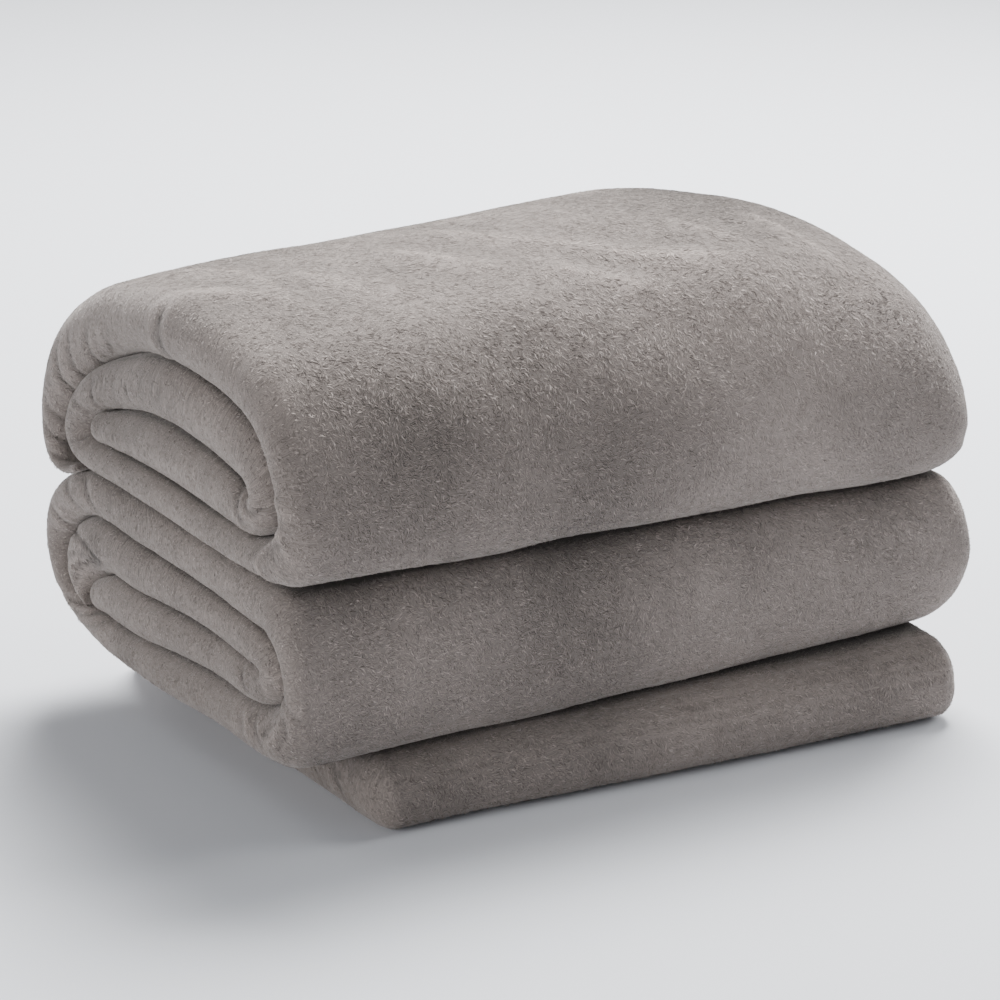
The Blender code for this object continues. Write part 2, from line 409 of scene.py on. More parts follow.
BANDS: tuple[Band, ...] = (
    #                    y     z      thick points length lead
    Band("top_tier", Tip(59.5, 143.0, 15.0, -8.0,  6.5), (
        #     below           above           start  end    outer inner leave enter
        Layer("tongue floor", "tongue top",   44.0,  -84.0, 27.0, 4.0),
        Layer("tongue top",   "roll top",     -84.0, 54.0,  40.0, 12.6),
        Layer("middle top",   "tongue floor", 64.0,  -86.0, 50.0, 27.8, 25.0),
        Layer("roll top",     "crown",        -84.0, 52.0,  77.5, 49.2, spacing=OPEN_SPACING),
    ), Tip(79.5, 119.25, 2.0, 157.0, 1.0, 0.6), End(-188.5, 1.0), End(182.0, 2.1)),
    Band("middle_ring", None, (
        Layer("ring ceiling", "middle top",   -84.0, 49.0,  75.0, 57.0, 8.0),
        Layer("base top",     "ring floor",   46.0,  -84.0, 51.0, 38.6, 30.0, 28.0),
    ), None, End(-188.5, 1.0), End(184.5, 1.5)),
    Band("middle_fold", Tip(65.0, 58.0, 17.0, -18.0, 9.0), (
        Layer("ring floor",   "middle fold",  45.0,  -84.0, 38.0, 14.0),
        Layer("middle fold",  "ring ceiling", -84.0, 46.0,  45.3, 12.0),
    ), Tip(74.0, 52.2, 2.2, 195.0, 1.1, 0.85), End(-188.5, 1.0), End(184.5, 1.0)),
    Band("base_tier", Tip(-119.0, 16.0, 32.0, 180.0, 26.0, 1.0, 4.0), (
        Layer("floor",        "base top",    -105.0, 80.0, spacing=OPEN_SPACING),
    ), Tip(90.0, 14.5, 29.0, 0.0, 16.0, 1.0, 3.0), End(-147.0, 0.7), End(170.0, 0.9), -3.0),
)


@dataclass(frozen=True)
class Rise:
    """How much higher or lower the blanket stands, at a height, at each of SETTLING_X."""

    height: float
    at_x: tuple[float, ...]


SETTLING_X = (-188.0, -60.0, 60.0, 120.0, 188.0)
SETTLING: tuple[Rise, ...] = (
    Rise(0.0,   (0.0, 0.0,  0.0,  0.0,  0.0)),
    Rise(31.0,  (0.0, 2.0,  4.5,  6.5,  9.0)),
    Rise(117.0, (0.0, -1.0, -1.5, -2.0, -2.5)),
    Rise(217.0, (4.0, 14.0, 21.0, 16.0, -17.0)),
)


def settle(points: Array) -> Array:
    """Lifts points by the section's slow changes along the length.

    The lift at each height is a curve of the fourth degree in x, and runs straight between.
    """
    x, z = points[..., 0], points[..., 2]
    lift = 0 * x
    for low, high in zip(SETTLING, SETTLING[1:]):
        share = (z - low.height) / (high.height - low.height)
        below, above = (np.polyval(np.polyfit(SETTLING_X, rise.at_x, 4), x) for rise in (low, high))
        lift = np.where(z >= low.height, below + share * (above - below), lift)
    points[..., 2] += lift
    return points


@dataclass(frozen=True)
class Waves:
    """A soft random field: a sum of plane waves of seeded directions, lengths and phases."""

    seed: int
    shortest: float
    longest: float
    count: int = 28

    def at(self, points: Array) -> Array:
        """The field at some points, about -1 to 1.

        Args:
            points: x, y and z in millimetres, one point a row.

        Returns:
            One value a point.
        """
        rng = np.random.default_rng(self.seed)
        ways = rng.normal(size=(3, self.count))
        ways /= np.linalg.norm(ways, axis=0)
        ways *= 2 * np.pi / rng.uniform(self.shortest, self.longest, self.count)
        phases = rng.uniform(0, 2 * np.pi, self.count)
        return np.sin(points @ ways + phases).sum(axis=1) / math.sqrt(2 * self.count)


class Edge(Enum):
    """One of a band's two rounded ends, by the name of the attribute that measures round it."""

    LEFT = "rim_left"
    RIGHT = "rim_right"


SHOULDER, SHOULDER_AT = 0.35, 1.9  # a crease's low shoulders: as shares of its depth and width
FADE_IN, FADE_OUT = (-0.15, 0.2), (0.75, 1.15)  # of a crease's ends, as shares of its length


@dataclass(frozen=True)
class Crease:
    """A soft trough between two places of a flat map. Its depth is below 0 for a ridge.

    The map of a rounded end is path by rim: how far along the band, and how far round the end
    from its middle, positive on the band's left side. That of the top is its plan.
    """

    start: tuple[float, float]
    stop: tuple[float, float]
    width: float
    depth: float
    bow: float = 0.0

    def sink(self, places: Array, narrowed: float = 1.0) -> Array:
        """How deep it is at some places, in millimetres.

        A bell across the bowed line, with two low shoulders and both ends faded.

        Args:
            places: where on the map, one place a row.
            narrowed: the share of its width to count.

        Returns:
            One depth a place.
        """
        start = np.array(self.start, float)
        way = np.array(self.stop, float) - start
        length = float(np.linalg.norm(way))
        way /= length
        off = places - start
        along = off @ way / length
        aside = off @ np.array([-way[1], way[0]]) - self.bow * 4 * along * (1 - along)
        across = np.abs(aside) / (narrowed * self.width)
        bell = np.exp(-across**2) - SHOULDER * np.exp(-((across - SHOULDER_AT) ** 2))
        return self.depth * bell * smooth(*FADE_IN, along) * (1 - smooth(*FADE_OUT, along))


def creases(*rows: tuple[float, ...]) -> tuple[Crease, ...]:
    """Creases from rows of start, stop, width, depth and, where it isn't 0, bow."""
    return tuple(Crease(row[:2], row[2:4], *row[4:]) for row in rows)


LEFT_CREASES: dict[str, tuple[Crease, ...]] = {
    #    start path, rim  stop path, rim  width depth bow
    "top_tier": creases(
        # the back wall, from its silhouette in to the slit
        (790, 0,     802, -20,   3.0, 0.6),
        (812, 2,     826, -22,   2.8, 0.8, 1.5),
        (832, 4,     850, -24,   2.6, 0.9, 2.0),
        (849, 5,     868, -24,   2.6, 1.1, 2.0),
        (879, 1,     888, -16,   2.2, 0.7, 1.0),
        (893, -1,    903, -18,   2.2, 0.7, 1.0),
        (905, -1,    918, -15,   2.2, 0.6, 1.0),
        # the crown's end
        (737, 14,    728, -18,   4.0, 1.0, 3.0),
        (714, 40,    744, 4,     8.0, -0.7, 3.0),
        # the upper fold's turn at the back
        (297, 3,     293, -11,   2.2, 0.6),
        (309, 5,     312, -12,   2.4, 0.5, 1.0),
        (331, 6,     336, -13,   2.4, 0.6, 1.0),
        (352, 4,     350, -11,   2.4, 0.6),
        (375, 2,     379, -11,   2.2, 0.8),
        # the tongue's turn at the front
        (139, -12,   151, 5,     2.2, 0.8, 2.0),
        (164, 7,     154, -7,    2.2, 0.8, -1.5),
        # the front's rim and its lower corner
        (606, -16,   602, 8,     3.0, -0.6),
        (595, 2,     576, -10,   2.0, -0.8, 2.0),
        (577, -10,   559, 3,     2.0, -0.8, 2.0),
        (560, -1,    562, 14,    2.0, -0.6),
        (583, -9,    573, 8,     1.8, -0.6, -1.0),
        (591, -4,    585, 9,     1.8, -0.5),
        (581, -7,    577, 4,     1.6, 1.1),
    ),
    "middle_ring": creases(
        (150, 0,     137, -7,    2.2, 0.5),
        (157, 9,     145, -10,   2.6, 0.7, -1.5),
        (175, 10,    166, -12,   2.6, 0.7, -1.5),
        (193, 2,     197, -14,   2.4, 0.8),
        (240, 4,     249, -8,    2.2, 0.5),
        (246, 0,     260, -13,   2.2, 0.9),
        (256, 3,     270, -12,   2.2, 0.9),
        (268, 4,     281, -11,   2.4, 0.6),
        # the front's lower corner
        (430, -8,    436, 6,     2.4, -0.6, -1.5),
        (441, -11,   445, 2,     2.6, 0.8, 1.5),
        (474, -9,    450, 4,     2.2, -0.8, 2.0),
        (478, -7,    451, -3,    2.0, 0.7),
        (482, -7,    455, 4,     2.2, -0.9, 2.0),
        (475, 0,     465, 6,     1.8, 0.8),
        (483, -2,    477, 10,    1.6, 0.5),
    ),
    "middle_fold": creases(
        # the fan where the upper layer turns down round the lower one's tip
        (376, 17,    348, -6,    2.2, 1.3, 2.5),
        (385, 6,     350, -6,    1.9, 0.8, 3.5),
        (389, -1,    352, -7,    1.9, 0.9, 4.0),
        (393, -2,    351, -8,    1.9, 0.9, 5.5),
        # the turn at the front
        (150, -8,    156, 4,     2.4, 0.6),
        (179, -8,    171, 6,     2.2, -0.6, -1.5),
        (184, -2,    176, 9,     2.0, -0.5),
    ),
    "base_tier": creases(
        (20, 5,      8, -15,     3.0, 0.8, -2.0),
        (42, 4,      30, -14,    3.0, 0.6, -2.0),
    ),
}

RIGHT_CREASES: dict[str, tuple[Crease, ...]] = {
    #    start path, rim  stop path, rim  width depth bow
    "top_tier": creases(
        (308, 4,     313, -12,   2.6, 0.7, 1.0),
        (334, 5,     340, -12,   2.6, 0.8),
        (150, 5,     143, -10,   2.4, 0.7, 1.5),
        (590, 6,     578, -12,   2.6, 0.9, -1.5),
        (820, 4,     834, -20,   3.0, 0.8, 1.5),
        (868, 4,     880, -18,   3.0, 0.9, 1.5),
    ),
    "middle_ring": creases(
        (160, 8,     152, -10,   2.6, 0.8),
        (206, 5,     212, -12,   2.6, 0.7),
        (452, 5,     462, -10,   2.6, 0.8),
    ),
    "middle_fold": creases(
        (172, 5,     178, -10,   2.4, 0.7),
        (388, 2,     368, -8,    2.4, 0.9, 2.0),
        (400, 0,     380, -9,    2.2, 0.8, 2.0),
    ),
}

CREASES: dict[Edge, dict[str, tuple[Crease, ...]]] = {
    Edge.LEFT: LEFT_CREASES,
    Edge.RIGHT: RIGHT_CREASES,
}

TOP_BAND = "top_tier"
TOP_CREASES = creases(
    # start x, y  stop x, y  width depth bow
    (-155, 36,   -143, -49,  8.0, -0.6, 5.0),
    (-128, -18,  -106, -62,  8.0, -0.6, 3.0),
    (-179, -21,  -143, -52,  7.0, -0.4, 5.0),
    (-77, -11,   -40, -56,   8.0, -0.7, -5.0),
    (-40, 8,     -3, -46,    8.0, -0.6, -3.0),
    (-3, -43,    70, -86,    7.0, -0.8, -8.0),
    (-18, -65,   25, -99,    7.0, -0.7, -2.0),
    (63, -46,    85, -75,    8.0, -0.5, -2.0),
    (107, -43,   127, -102,  8.0, -0.6, 2.0),
    (-89, -33,   -76, -58,   8.0, 0.5),
    (-37, 29,    -15, -7,    8.0, 0.5, 3.0),
    (-150, 62,   -60, 50,    8.0, 0.4, 4.0),
    (-100, 84,   0, 76,      9.0, -0.5, 3.0),
    (20, 86,     120, 70,    9.0, 0.4, 3.0),
    (40, 30,     110, 20,    8.0, -0.5, 3.0),
)


@dataclass(frozen=True)
class Patch:
    """A broad patch of painted light or painted shade that lightens or darkens a region: its middle,
    its reach and its tone.
    """

    x: float
    y: float
    z: float
    reach: float
    tone: float

    def at(self, points: Array) -> Array:
        """Its tone at some points, a soft bell round its middle."""
        far = np.linalg.norm(points - (self.x, self.y, self.z), axis=1) / self.reach
        return self.tone * np.exp(-far**2)


# Painted light and painted shade, each lightening or darkening one broad region.
PAINTED_LIGHT_PATCHES: tuple[Patch, ...] = (
    #     x     y     z     reach tone
    Patch(75,   -115, 190,  60,   0.55),
    Patch(-115, -115, 185,  45,   -0.46),
    Patch(-35,  -138, 77,   66,   -0.52),
    Patch(-20,  -130, 150,  55,   -0.16),
    Patch(140,  -110, 150,  50,   -0.15),
    Patch(10,   -130, 15,   90,   0.52),
    Patch(-110, -130, 140,  40,   0.10),
    Patch(0,    30,   235,  130,  0.20),
    Patch(110,  20,   235,  60,   -0.66),
    Patch(90,   -20,  230,  45,   -0.25),
    Patch(-188, 80,   162,  40,   -0.40),
    Patch(-188, 10,   176,  28,   -0.38),
    Patch(-188, 60,   105,  28,   -0.20),
    Patch(-186, 77,   79,   10,   -0.80),
)


# What each point of the cloth knows of its place, as attributes.
FACTS = ("path", *(edge.value for edge in Edge), "shut", "shaded")


def vectors(data: bpy.types.Mesh, name: str) -> Array:
    """The places or normals of a mesh's points, one a row, by their name of co or normal."""
    values = np.empty(3 * len(data.vertices))
    data.vertices.foreach_get(name, values)
    return values.reshape(-1, 3)


def read(data: bpy.types.Mesh, name: str) -> Array:
    """The values of a mesh's point attribute."""
    values = np.empty(len(data.vertices), np.float32)
    data.attributes[name].data.foreach_get("value", values)
    return values.astype(float)


def write(data: bpy.types.Mesh, name: str, values: Array) -> None:
    """Gives a mesh's points an attribute: a number each, or a vector each where it has rows."""
    kind, key = ("FLOAT_VECTOR", "vector") if values.ndim > 1 else ("FLOAT", "value")
    made = data.attributes.new(name, kind, "POINT")
    made.data.foreach_set(key, values.astype(np.float32).ravel())


def placed(name: str, data: bpy.types.ID) -> bpy.types.Object:
    """A new object of the scene, at the origin, that holds some data."""
    made = bpy.data.objects.new(name, data)
    bpy.context.scene.collection.objects.link(made)
    return made


def inland(known: dict[str, Array]) -> Array:
    """0 on a rounded end to 1 well away from it, from what places of the cloth know."""
    return smooth(*END_REACH, np.min([np.abs(known[edge.value]) for edge in Edge], axis=0))


def weld(data: bpy.types.Mesh) -> None:
    """Joins points that coincide and turns all faces outwards."""
    mesh = bmesh.new()
    mesh.from_mesh(data)
    bmesh.ops.remove_doubles(mesh, verts=mesh.verts, dist=WELD)
    bmesh.ops.recalc_face_normals(mesh, faces=mesh.faces)
    mesh.to_mesh(data)
    mesh.free()
    data.update()


@dataclass
class Cloth:
    """One band's surface: its mesh and what each of its points knows of its place.

    Heights are millimetres, and shades are shares of the step from the dark to the light tone.
    """

    band: Band
    shift: Array
    lumps: Waves = Waves(11, 55.0, 110.0)
    dimples: Waves = Waves(23, 16.0, 34.0)
    sway: tuple[Waves, ...] = (Waves(31, 60.0, 120.0), Waves(32, 60.0, 120.0))
    lump_height: float = 0.7
    dimple_height: float = 0.16
    dimple_loss: float = 0.7  # where the cloth is shut in
    sway_shift: float = 0.7
    crease_share: float = 1.05
    # painted shade in the creases and painted highlight on the ridges
    crease_shade: float = 0.5
    top_share: float = 1.25
    # painted shade below each slit, stronger at the rounded ends, a painted highlight above each slit,
    # and a painted dark core in the slits where cloth is shut in
    shade_below_slit: float = -0.6
    shade_below_slit_at_end: float = -1.0
    below_power: float = 1.5
    highlight_above_slit: float = 0.5
    slit_shade: float = 0.8
    slit_power: int = 3
    piece: bpy.types.Object | None = None

    def stations(self) -> tuple[Array, Array, Array]:
        """The places along X, the same for each outline point but for the rounded ends.

        Returns:
            For each station: the share of the straight length, the sine of the crown's angle
            (negative at the left end) and its cosine.
        """
        near = 0.5 * np.pi * np.arange(CROWN_STEPS, 0, -1) / CROWN_STEPS
        length = self.band.right.x - self.band.left.x
        end = END_ZONE / length
        close = np.linspace(0.0, end, round(END_ZONE / END_SPACING), endpoint=False)
        inner = np.linspace(end, 1 - end, round((length - 2 * END_ZONE) / LENGTH_SPACING))
        shares = np.concatenate([close, inner, (1 - close)[::-1]])
        share = np.concatenate([0 * near, shares, 0 * near + 1])
        sine = np.concatenate([-np.sin(near), 0 * shares, np.sin(near[::-1])])
        cosine = np.concatenate([np.cos(near), 0 * shares + 1, np.cos(near[::-1])])
        return share, sine, cosine

    def grid(self, outline: Outline) -> tuple[Array, Array, Array]:
        """An outline carried along X, as stations by columns.

        Args:
            outline: the closed line to carry.

        Returns:
            The points in millimetres, each point's distance round the left rim from its
            middle, and the same from the right one. They are positive on the band's left.
        """
        left, right = self.band.left, self.band.right
        share, sine, cosine = self.stations()
        near = left.x + left.depth * outline.full
        far = right.x - right.depth * outline.full
        x = near + share[:, None] * (far - near)
        x = x + np.where(sine[:, None] < 0, left.depth, right.depth) * sine[:, None] * outline.depth
        section = outline.middle + cosine[:, None, None] * outline.offset
        points = np.dstack([x, section])
        points[..., 1] += points[..., 0] * math.tan(math.radians(self.band.turn))
        quarter = 0.5 * np.pi * outline.full
        turned = 1 - np.arcsin(np.abs(sine[:, None])) / (0.5 * np.pi)
        sign = np.where(outline.side < 0, -1.0, 1.0)
        rims = []
        for is_this, past in ((sine < 0, x - near), (sine > 0, far - x)):
            round_rim = np.where(is_this[:, None], turned * quarter, quarter + np.maximum(past, 0))
            rims.append(sign * round_rim)
        return settle(points), rims[0], rims[1]

    def shut(self, outline: Outline, grid: Array,
             others: list[tuple[Band, Array]]) -> tuple[Array, Array]:
        """How far each point of an outline's grid is shut in by the cloth ahead, and how much painted
        shade that cloth gives it.

        The gap ahead, measured along the line's own normals, is widened at the rounded ends by
        what the two layers give way there.

        Args:
            outline: the line to test.
            grid: its points, from grid.
            others: every band with its outlines' points, close together.

        Returns:
            Two shares from 0 to 1 for each station and column.
        """
        line = outline.surface()
        ahead = np.roll(line, -1, axis=0) - np.roll(line, 1, axis=0)
        ahead /= np.maximum(np.linalg.norm(ahead, axis=1, keepdims=True), TINY)
        out = np.column_stack([-ahead[:, 1], ahead[:, 0]])
        out *= np.sign((out * outline.offset).sum(axis=1, keepdims=True) + TINY)
        cosine = self.stations()[2]
        widened = 2.0 * outline.full * (1 - cosine[:, None])
        near, full = END_FADE
        x = grid[..., 0]
        shut, shaded = np.zeros(x.shape), np.zeros(x.shape)
        for band, points in others:
            far = points @ out.T - (line * out).sum(axis=1)
            aside = np.abs(points @ ahead.T - (line * ahead).sum(axis=1))
            is_there = (far > LEAST_GAP) & (aside < GAP_STEP)
            gap = np.where(is_there, far, np.inf).min(axis=0)
            within = smooth(band.left.x + near, band.left.x + full, x)
            within = within * (1 - smooth(band.right.x - full, band.right.x - near, x))
            gap = np.minimum(gap, FAR_GAP) + widened
            shut = np.maximum(shut, within * (1 - smooth(SHUT_GAP, OPEN_GAP, gap)))
            shaded = np.maximum(shaded, within * (1 - smooth(0.0, SHADED_GAP, gap)))
        return shut, shaded

    def build(self, others: list[tuple[Band, Array]]) -> bpy.types.Object:
        """Makes the band's mesh, closed and smooth, with its creases and lumps.

        Each point is moved along its normal by a sum of bells and waves of its place.

        Args:
            others: every band with its outlines' points, for what lies against what.

        Returns:
            The piece.
        """
        points, faces, uvs, facts = [], [], [], []
        for number, outline in enumerate(self.band.outlines()):
            grid, rim_left, rim_right = self.grid(outline)
            rows, columns = grid.shape[:2]
            shut, shaded = self.shut(outline, grid, others)
            index = sum(map(len, points)) + np.arange(rows * columns).reshape(rows, columns)
            beside = np.roll(index, -1, axis=1)
            faces.append(np.stack([index[:-1], beside[:-1], beside[1:], index[1:]], 2).reshape(-1, 4))
            across, along = np.meshgrid(travelled(closed(outline.surface())) / MAP_SIZE + number,
                                        grid[:, 0, 0] / MAP_SIZE)
            uv = np.dstack([across, along])
            uvs.append(np.stack([uv[:-1, :-1], uv[:-1, 1:], uv[1:, 1:], uv[1:, :-1]], 2).ravel())
            points.append(grid.reshape(-1, 3))
            path = np.broadcast_to(outline.path, (rows, columns))
            facts.append(np.stack([path, rim_left, rim_right, shut, shaded], 2).reshape(-1, len(FACTS)))
        data = bpy.data.meshes.new(self.band.name)
        data.from_pydata(MM * (np.vstack(points) + self.shift), [], np.vstack(faces))
        data.uv_layers.new(name="cloth").data.foreach_set("uv", np.hstack(uvs).astype(np.float32))
        for name, values in zip(FACTS, np.vstack(facts).T):
            write(data, name, values)
        weld(data)
        self.dent(data)
        self.piece = placed(self.band.name, data)
        return self.piece

    def creased(self, place: Array, normal: Array, known: dict[str, Array],
                end_width: float = 1.0, top_width: float = 1.0, top_share: float = 1.0) -> Array:
        """How deep the creases are at some places of the cloth, in millimetres.

        Args:
            place: the places, one a row.
            normal: the cloth's normals there.
            known: the values of the cloth's attributes there.
            end_width: the share of the widths to count at the rounded ends.
            top_width: the same on the top.
            top_share: the share of the depths to count on the top.

        Returns:
            One depth a place.
        """
        depth = np.zeros(len(place))
        for edge, by_band in CREASES.items():
            around = np.column_stack([known["path"], known[edge.value]])
            for crease in by_band.get(self.band.name, ()):
                depth += crease.sink(around, end_width)
        if self.band.name == TOP_BAND:
            plan = (place - self.shift)[:, :2]
            upward = smooth(*UPWARD, normal[:, 2]) * (1 - known["shut"])
            on_top = sum(crease.sink(plan, top_width) for crease in TOP_CREASES)
            depth += top_share * upward * on_top
        return depth

    def dent(self, data: bpy.types.Mesh) -> None:
        """Moves each point of the mesh by the sway, the lumps and the creases, and gives it its painted
        light and shade.
        """
        place, normal = vectors(data, "co") / MM, vectors(data, "normal")
        known = {name: read(data, name) for name in FACTS}
        shut, shaded, upward = known["shut"], known["shaded"], normal[:, 2]
        depth = self.creased(place, normal, known, top_share=self.top_share)
        lift = self.lump_height * self.lumps.at(place) * (1 - shut)
        lift += self.dimple_height * self.dimples.at(place) * (1 - self.dimple_loss * shut)
        lift -= self.crease_share * depth
        # painted shade below each slit and a painted highlight above it, then a painted dark core where
        # the cloth is shut in
        below = self.shade_below_slit + self.shade_below_slit_at_end * (1 - inland(known))
        # painted light and shade of the patches, painted shade in the creases and painted highlight on
        # the ridges
        shade = sum(patch.at(place) for patch in PAINTED_LIGHT_PATCHES) - self.crease_shade * depth
        shade += np.where(upward > 0, below * upward * shaded**self.below_power,
                          self.highlight_above_slit * -upward * shaded)
        shade -= self.slit_shade * shut**self.slit_power
        write(data, "shade", shade)
        place += (smooth(0.0, GROUND_REACH, place[:, 2]) * lift)[:, None] * normal
        for axis, waves in zip((1, 2), self.sway):
            swayed = self.sway_shift * smooth(0.0, SWAY_REACH, place[:, 2])
            place[:, axis] += swayed * waves.at(place)
        data.vertices.foreach_set("co", (MM * place).astype(np.float32).ravel())
        data.shade_smooth()
        data.update()


LEAF_TRIANGLES = np.array([0, 3, 1, 1, 3, 2], np.int32)  # the corners of its two


@dataclass
class Pile:
    """The plush's short fibres in tufts, each a thin bent leaf that lies over the next.

    The leaves lie along comb, the way the nap was stroked, turned from place to place. One side of each
    has a painted highlight and the other a painted shadow, as a tuft shows with its own shadow, and
    each has painted shade at its root and a painted highlight at its tip. A pair of numbers is the
    range of a random share.
    """

    density: float = 0.72  # leaves a square millimetre
    most: int = 97_500  # leaves a piece
    width: float = 0.62
    widths: tuple[float, float] = (0.7, 1.3)
    length: float = 3.4
    lengths: tuple[float, float] = (0.6, 1.3)
    end_share: float = 0.62  # of the length and the tones, at the blanket's rounded ends
    bend: float = 0.19
    root: float = 0.1
    lift: float = 5.0  # degrees at most
    comb: tuple[float, float, float] = (0.62, -0.5, -0.6)
    second_comb: tuple[float, float, float] = (0.3, -0.9, -0.3)
    second_share: float = 0.6
    weak: tuple[float, float] = (0.15, 0.55)  # how much of the comb lies along the cloth there
    swirl: Waves = Waves(41, 28.0, 70.0)
    swirl_turn: float = 0.6  # radians, as the next two
    ruffle: Waves = Waves(43, 5.0, 12.0)
    ruffle_turn: float = 0.8
    own_turn: float = 0.45
    own_normal: float = 0.3
    back_normal: float = 0.15
    own_tone: float = 0.6
    # painted highlight and shadow on a leaf's two sides, painted shade at its root, painted highlight
    # at its tip
    side_highlight_and_shadow: float = 1.7
    root_tone: float = -0.35
    tip_highlight: float = 0.15
    bright_share: float = 0.12
    bright_tone: float = 0.9
    # painted shade along the creases and a painted highlight along the ridges, on the leaves
    line_width: float = 0.5
    line_shade: float = 1.1
    top_line_width: float = 0.22
    top_line_share: float = 1.5
    seed: int = 7

    def cover(self, cloth: Cloth) -> list[bpy.types.Object]:
        """Makes the pile of one band, in as many pieces as its leaves need.

        Args:
            cloth: the finished cloth of that band.

        Returns:
            The new pieces.
        """
        roots, normals, shades, shares = self.scatter(cloth)
        leaves, facing, tones = self.leaves(roots, normals, shares)
        parts = max(math.ceil(len(leaves) / self.most), 1)
        made = []
        for number in range(parts):
            pick = slice(number, None, parts)
            name = f"pile_{cloth.band.name}_{number + 1}"
            made.append(self.piece(name, leaves[pick], facing[pick], tones[pick], shades[pick]))
        return made

    def scatter(self, cloth: Cloth) -> tuple[Array, Array, Array, Array]:
        """Random roots on the cloth where it is open, by area.

        A triangle is drawn by its open area, then a point of it by two folded random shares.

        Args:
            cloth: the finished cloth.

        Returns:
            The roots, the normals, the pile's shade there and the share of the leaves' length.
        """
        data = cloth.piece.data
        rng = np.random.default_rng(self.seed)
        data.calc_loop_triangles()
        count = len(data.loop_triangles)
        corners = np.empty(3 * count, np.int32)
        data.loop_triangles.foreach_get("vertices", corners)
        corners = corners.reshape(-1, 3)
        points, normals = vectors(data, "co") / MM, vectors(data, "normal")
        a, b, c = points[corners].transpose(1, 0, 2)
        area = 0.5 * np.linalg.norm(np.cross(b - a, c - a), axis=1)
        is_open = 1 - read(data, "shut")[corners].mean(axis=1)
        on_floor = points[corners][..., 2].max(axis=1) < FLOOR_REACH
        area = area * is_open * ~on_floor
        total = rng.poisson(area.sum() * self.density)
        drawn = corners[rng.choice(count, size=total, p=area / area.sum())]
        s, t = rng.uniform(size=(2, total))
        flip = s + t > 1
        s, t = np.where(flip, 1 - s, s), np.where(flip, 1 - t, t)
        weights = np.column_stack([1 - s - t, s, t])
        roots = (points[drawn] * weights[..., None]).sum(axis=1)
        ways = (normals[drawn] * weights[..., None]).sum(axis=1)
        ways /= np.linalg.norm(ways, axis=1, keepdims=True)
        known = {}
        for name in (*FACTS, "shade"):
            at_corners = read(data, name)[drawn]
            is_seam = np.ptp(at_corners, axis=1) > SEAM_STEP
            known[name] = np.where(is_seam, at_corners[:, 0], (at_corners * weights).sum(axis=1))
        # painted shade along the creases and painted highlight along the ridges
        lines = cloth.creased(roots, ways, known, self.line_width, self.top_line_width,
                              self.top_line_share)
        shares = self.end_share + (1 - self.end_share) * inland(known)
        return roots, ways, known["shade"] - self.line_shade * lines, shares

    def leaves(self, roots: Array, normals: Array,
               shares: Array) -> tuple[Array, Array, Array]:
        """Four corners of each leaf: its root, one side, its tip and the other side.

        A leaf leans from the normal to the combed way, which is turned about the normal by
        the swirl, the ruffle and a random angle. Where the comb points into the cloth, a second
        one takes over.

        Args:
            roots: where the leaves stand.
            normals: the cloth's normals there.
            shares: the shares of their length, and of how much they differ in tone.

        Returns:
            The corners, leaf by corner by axis, the normal at each, and each one's tone.
        """
        rng = np.random.default_rng(self.seed + 1)
        count = len(roots)
        lay, second = (
            comb - (normals @ comb)[:, None] * normals
            for comb in (np.array(self.comb), np.array(self.second_comb)))
        weak = 1 - smooth(*self.weak, np.linalg.norm(lay, axis=1, keepdims=True))
        lay = lay + self.second_share * weak * second
        lay /= np.linalg.norm(lay, axis=1, keepdims=True)
        beside = np.cross(normals, lay)
        angle = self.swirl_turn * self.swirl.at(roots) + self.ruffle_turn * self.ruffle.at(roots)
        angle = angle + rng.normal(0, self.own_turn, count)
        along = np.cos(angle)[:, None] * lay + np.sin(angle)[:, None] * beside
        across = np.cross(normals, along)
        lift = np.radians(rng.uniform(0.0, self.lift, count))[:, None]
        length = self.length * (shares * rng.uniform(*self.lengths, count))[:, None]
        way = length * (np.cos(lift) * along + np.sin(lift) * normals)
        half = 0.5 * self.width * rng.uniform(*self.widths, count)[:, None] * across
        middle = roots + 0.5 * way + self.bend * rng.normal(0, 1, count)[:, None] * length * across
        leaves = np.stack([roots - self.root * normals, middle + half, roots + way,
                           middle - half], axis=1)
        leaves[..., 2] = np.maximum(leaves[..., 2], LOWEST_PILE)
        lean = rng.normal(0, self.own_normal, count)[:, None] * across
        facing = np.repeat((normals + lean - self.back_normal * along)[:, None], 4, axis=1)
        facing /= np.linalg.norm(facing, axis=2, keepdims=True)
        own = rng.uniform(-self.own_tone, self.own_tone, count)
        own += self.bright_tone * shares * (rng.uniform(size=count) < self.bright_share)
        # painted highlight on one side and painted shadow on the other, painted shade at the root and
        # painted highlight at the tip
        side = self.side_highlight_and_shadow * shares * rng.choice((-1.0, 1.0), size=count)
        flat = np.zeros(count)
        tones = own[:, None] + np.stack([flat + self.root_tone, side, flat + self.tip_highlight, -side], 1)
        return leaves, facing, tones

    def piece(self, name: str, leaves: Array, facing: Array, tones: Array,
              shades: Array) -> bpy.types.Object:
        """One mesh of many leaves, two triangles each, with their tones and the cloth's normals.

        Args:
            name: the piece's name.
            leaves: the corners.
            facing: a normal a corner.
            tones: a tone a corner.
            shades: the cloth's shade, one a leaf.

        Returns:
            The piece.
        """
        count = len(leaves)
        data = bpy.data.meshes.new(name)
        data.vertices.add(4 * count)
        data.vertices.foreach_set("co", (MM * leaves).astype(np.float32).ravel())
        first = 4 * np.arange(count, dtype=np.int32)[:, None]
        data.loops.add(6 * count)
        data.loops.foreach_set("vertex_index", (first + LEAF_TRIANGLES).ravel())
        data.polygons.add(2 * count)
        data.polygons.foreach_set("loop_start", np.arange(0, 6 * count, 3, dtype=np.int32))
        data.update(calc_edges=True)
        data.shade_smooth()
        write(data, "tone", tones.ravel())
        write(data, "shade", np.repeat(shades, 4))
        write(data, "custom_normal", facing.reshape(-1, 3))
        data.update()
        return placed(name, data)


